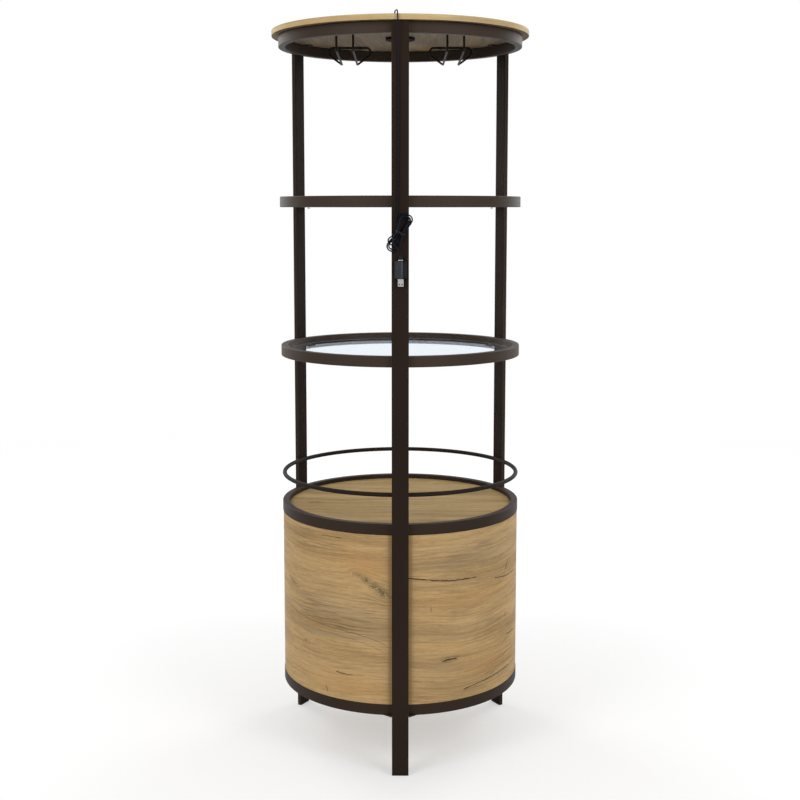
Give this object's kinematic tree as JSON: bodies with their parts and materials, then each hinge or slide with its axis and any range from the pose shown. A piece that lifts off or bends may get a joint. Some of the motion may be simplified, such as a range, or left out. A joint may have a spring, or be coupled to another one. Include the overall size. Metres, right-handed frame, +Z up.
{
  "type": "round wine cabinet",
  "caption": "Tall round bar cabinet on flat-tube posts with glass shelves, a gallery rail, hanging stemware racks, a light and a curved cabinet with hinged doors.",
  "frame": {"origin": "centre of the plan at floor level, under the foot glides", "axes": "+Z up; the doors face -Y and the rear post with the cord stands at +Y; +X is the right of a person who faces the doors"},
  "size_m": [0.6066, 0.623, 1.7143],
  "materials": {
    "oak": "oak-look laminate, satin",
    "bronze": "dark bronze powder coat",
    "wire": "dark bronze powder coat on wire",
    "glass": "clear tempered glass with a pale blue cast",
    "steel": "nickel-plated steel",
    "pad": "grey rubber pads and nuts",
    "plastic": "black moulded plastic",
    "lens": "frosted diffuser",
    "cord": "black cord sheath"
  },
  "bodies": {
    "frame": {"cabinet_base_ring": "bronze", "cabinet_floor_panel": "oak", "cabinet_top_panel": "oak", "cabinet_top_ring": "bronze", "cable_grommet": "plastic", "cable_hank": "cord", "cable_tail": "cord", "cable_tie": "plastic", "gallery_rail": "bronze", "lead_clip": "plastic", "led_lead": "cord", "led_lens": "lens", "led_puck": "plastic", "left_back_panel": "oak", "left_front_foot_glide": "plastic", "left_front_lower_pad": "pad", "left_front_post": "bronze", "left_front_top_screw": "steel", "left_front_upper_pad": "pad", "left_glass_rack": "wire", "left_lower_hinge_pin": "steel", "left_lower_hinge_post_leaf": "bronze", "left_upper_hinge_pin": "steel", "left_upper_hinge_post_leaf": "bronze", "lower_glass_shelf": "glass", "lower_shelf_ring": "bronze", "magnetic_catch": "plastic", "rear_foot_glide": "plastic", "rear_lower_pad": "pad", "rear_post": "bronze", "rear_top_screw": "steel", "rear_upper_pad": "pad", "right_back_panel": "oak", "right_front_foot_glide": "plastic", "right_front_lower_pad": "pad", "right_front_post": "bronze", "right_front_top_screw": "steel", "right_front_upper_pad": "pad", "right_glass_rack": "wire", "right_lower_hinge_pin": "steel", "right_lower_hinge_post_leaf": "bronze", "right_upper_hinge_pin": "steel", "right_upper_hinge_post_leaf": "bronze", "top_panel": "oak", "top_ring": "bronze", "upper_glass_shelf": "glass", "upper_shelf_ring": "bronze", "usb_cable": "cord", "usb_plug_body": "plastic", "usb_plug_shell": "steel"},
    "left_door": {"left_door": "oak", "left_door_pull": "bronze", "left_door_strike": "steel", "left_lower_hinge_door_leaf": "bronze", "left_upper_hinge_door_leaf": "bronze"},
    "right_door": {"right_door": "oak", "right_door_pull": "bronze", "right_door_strike": "steel", "right_lower_hinge_door_leaf": "bronze", "right_upper_hinge_door_leaf": "bronze"}
  },
  "joints": [
    {"name": "left_door_hinge", "type": "hinge", "parent": "frame", "child": "left_door", "pos_m": [-0.2399, -0.16449, 0.362], "axis": [0, 0, -1], "range_deg": [0, 105]},
    {"name": "right_door_hinge", "type": "hinge", "parent": "frame", "child": "right_door", "pos_m": [0.2399, -0.16449, 0.362], "axis": [0, 0, 1], "range_deg": [0, 105]}
  ]
}
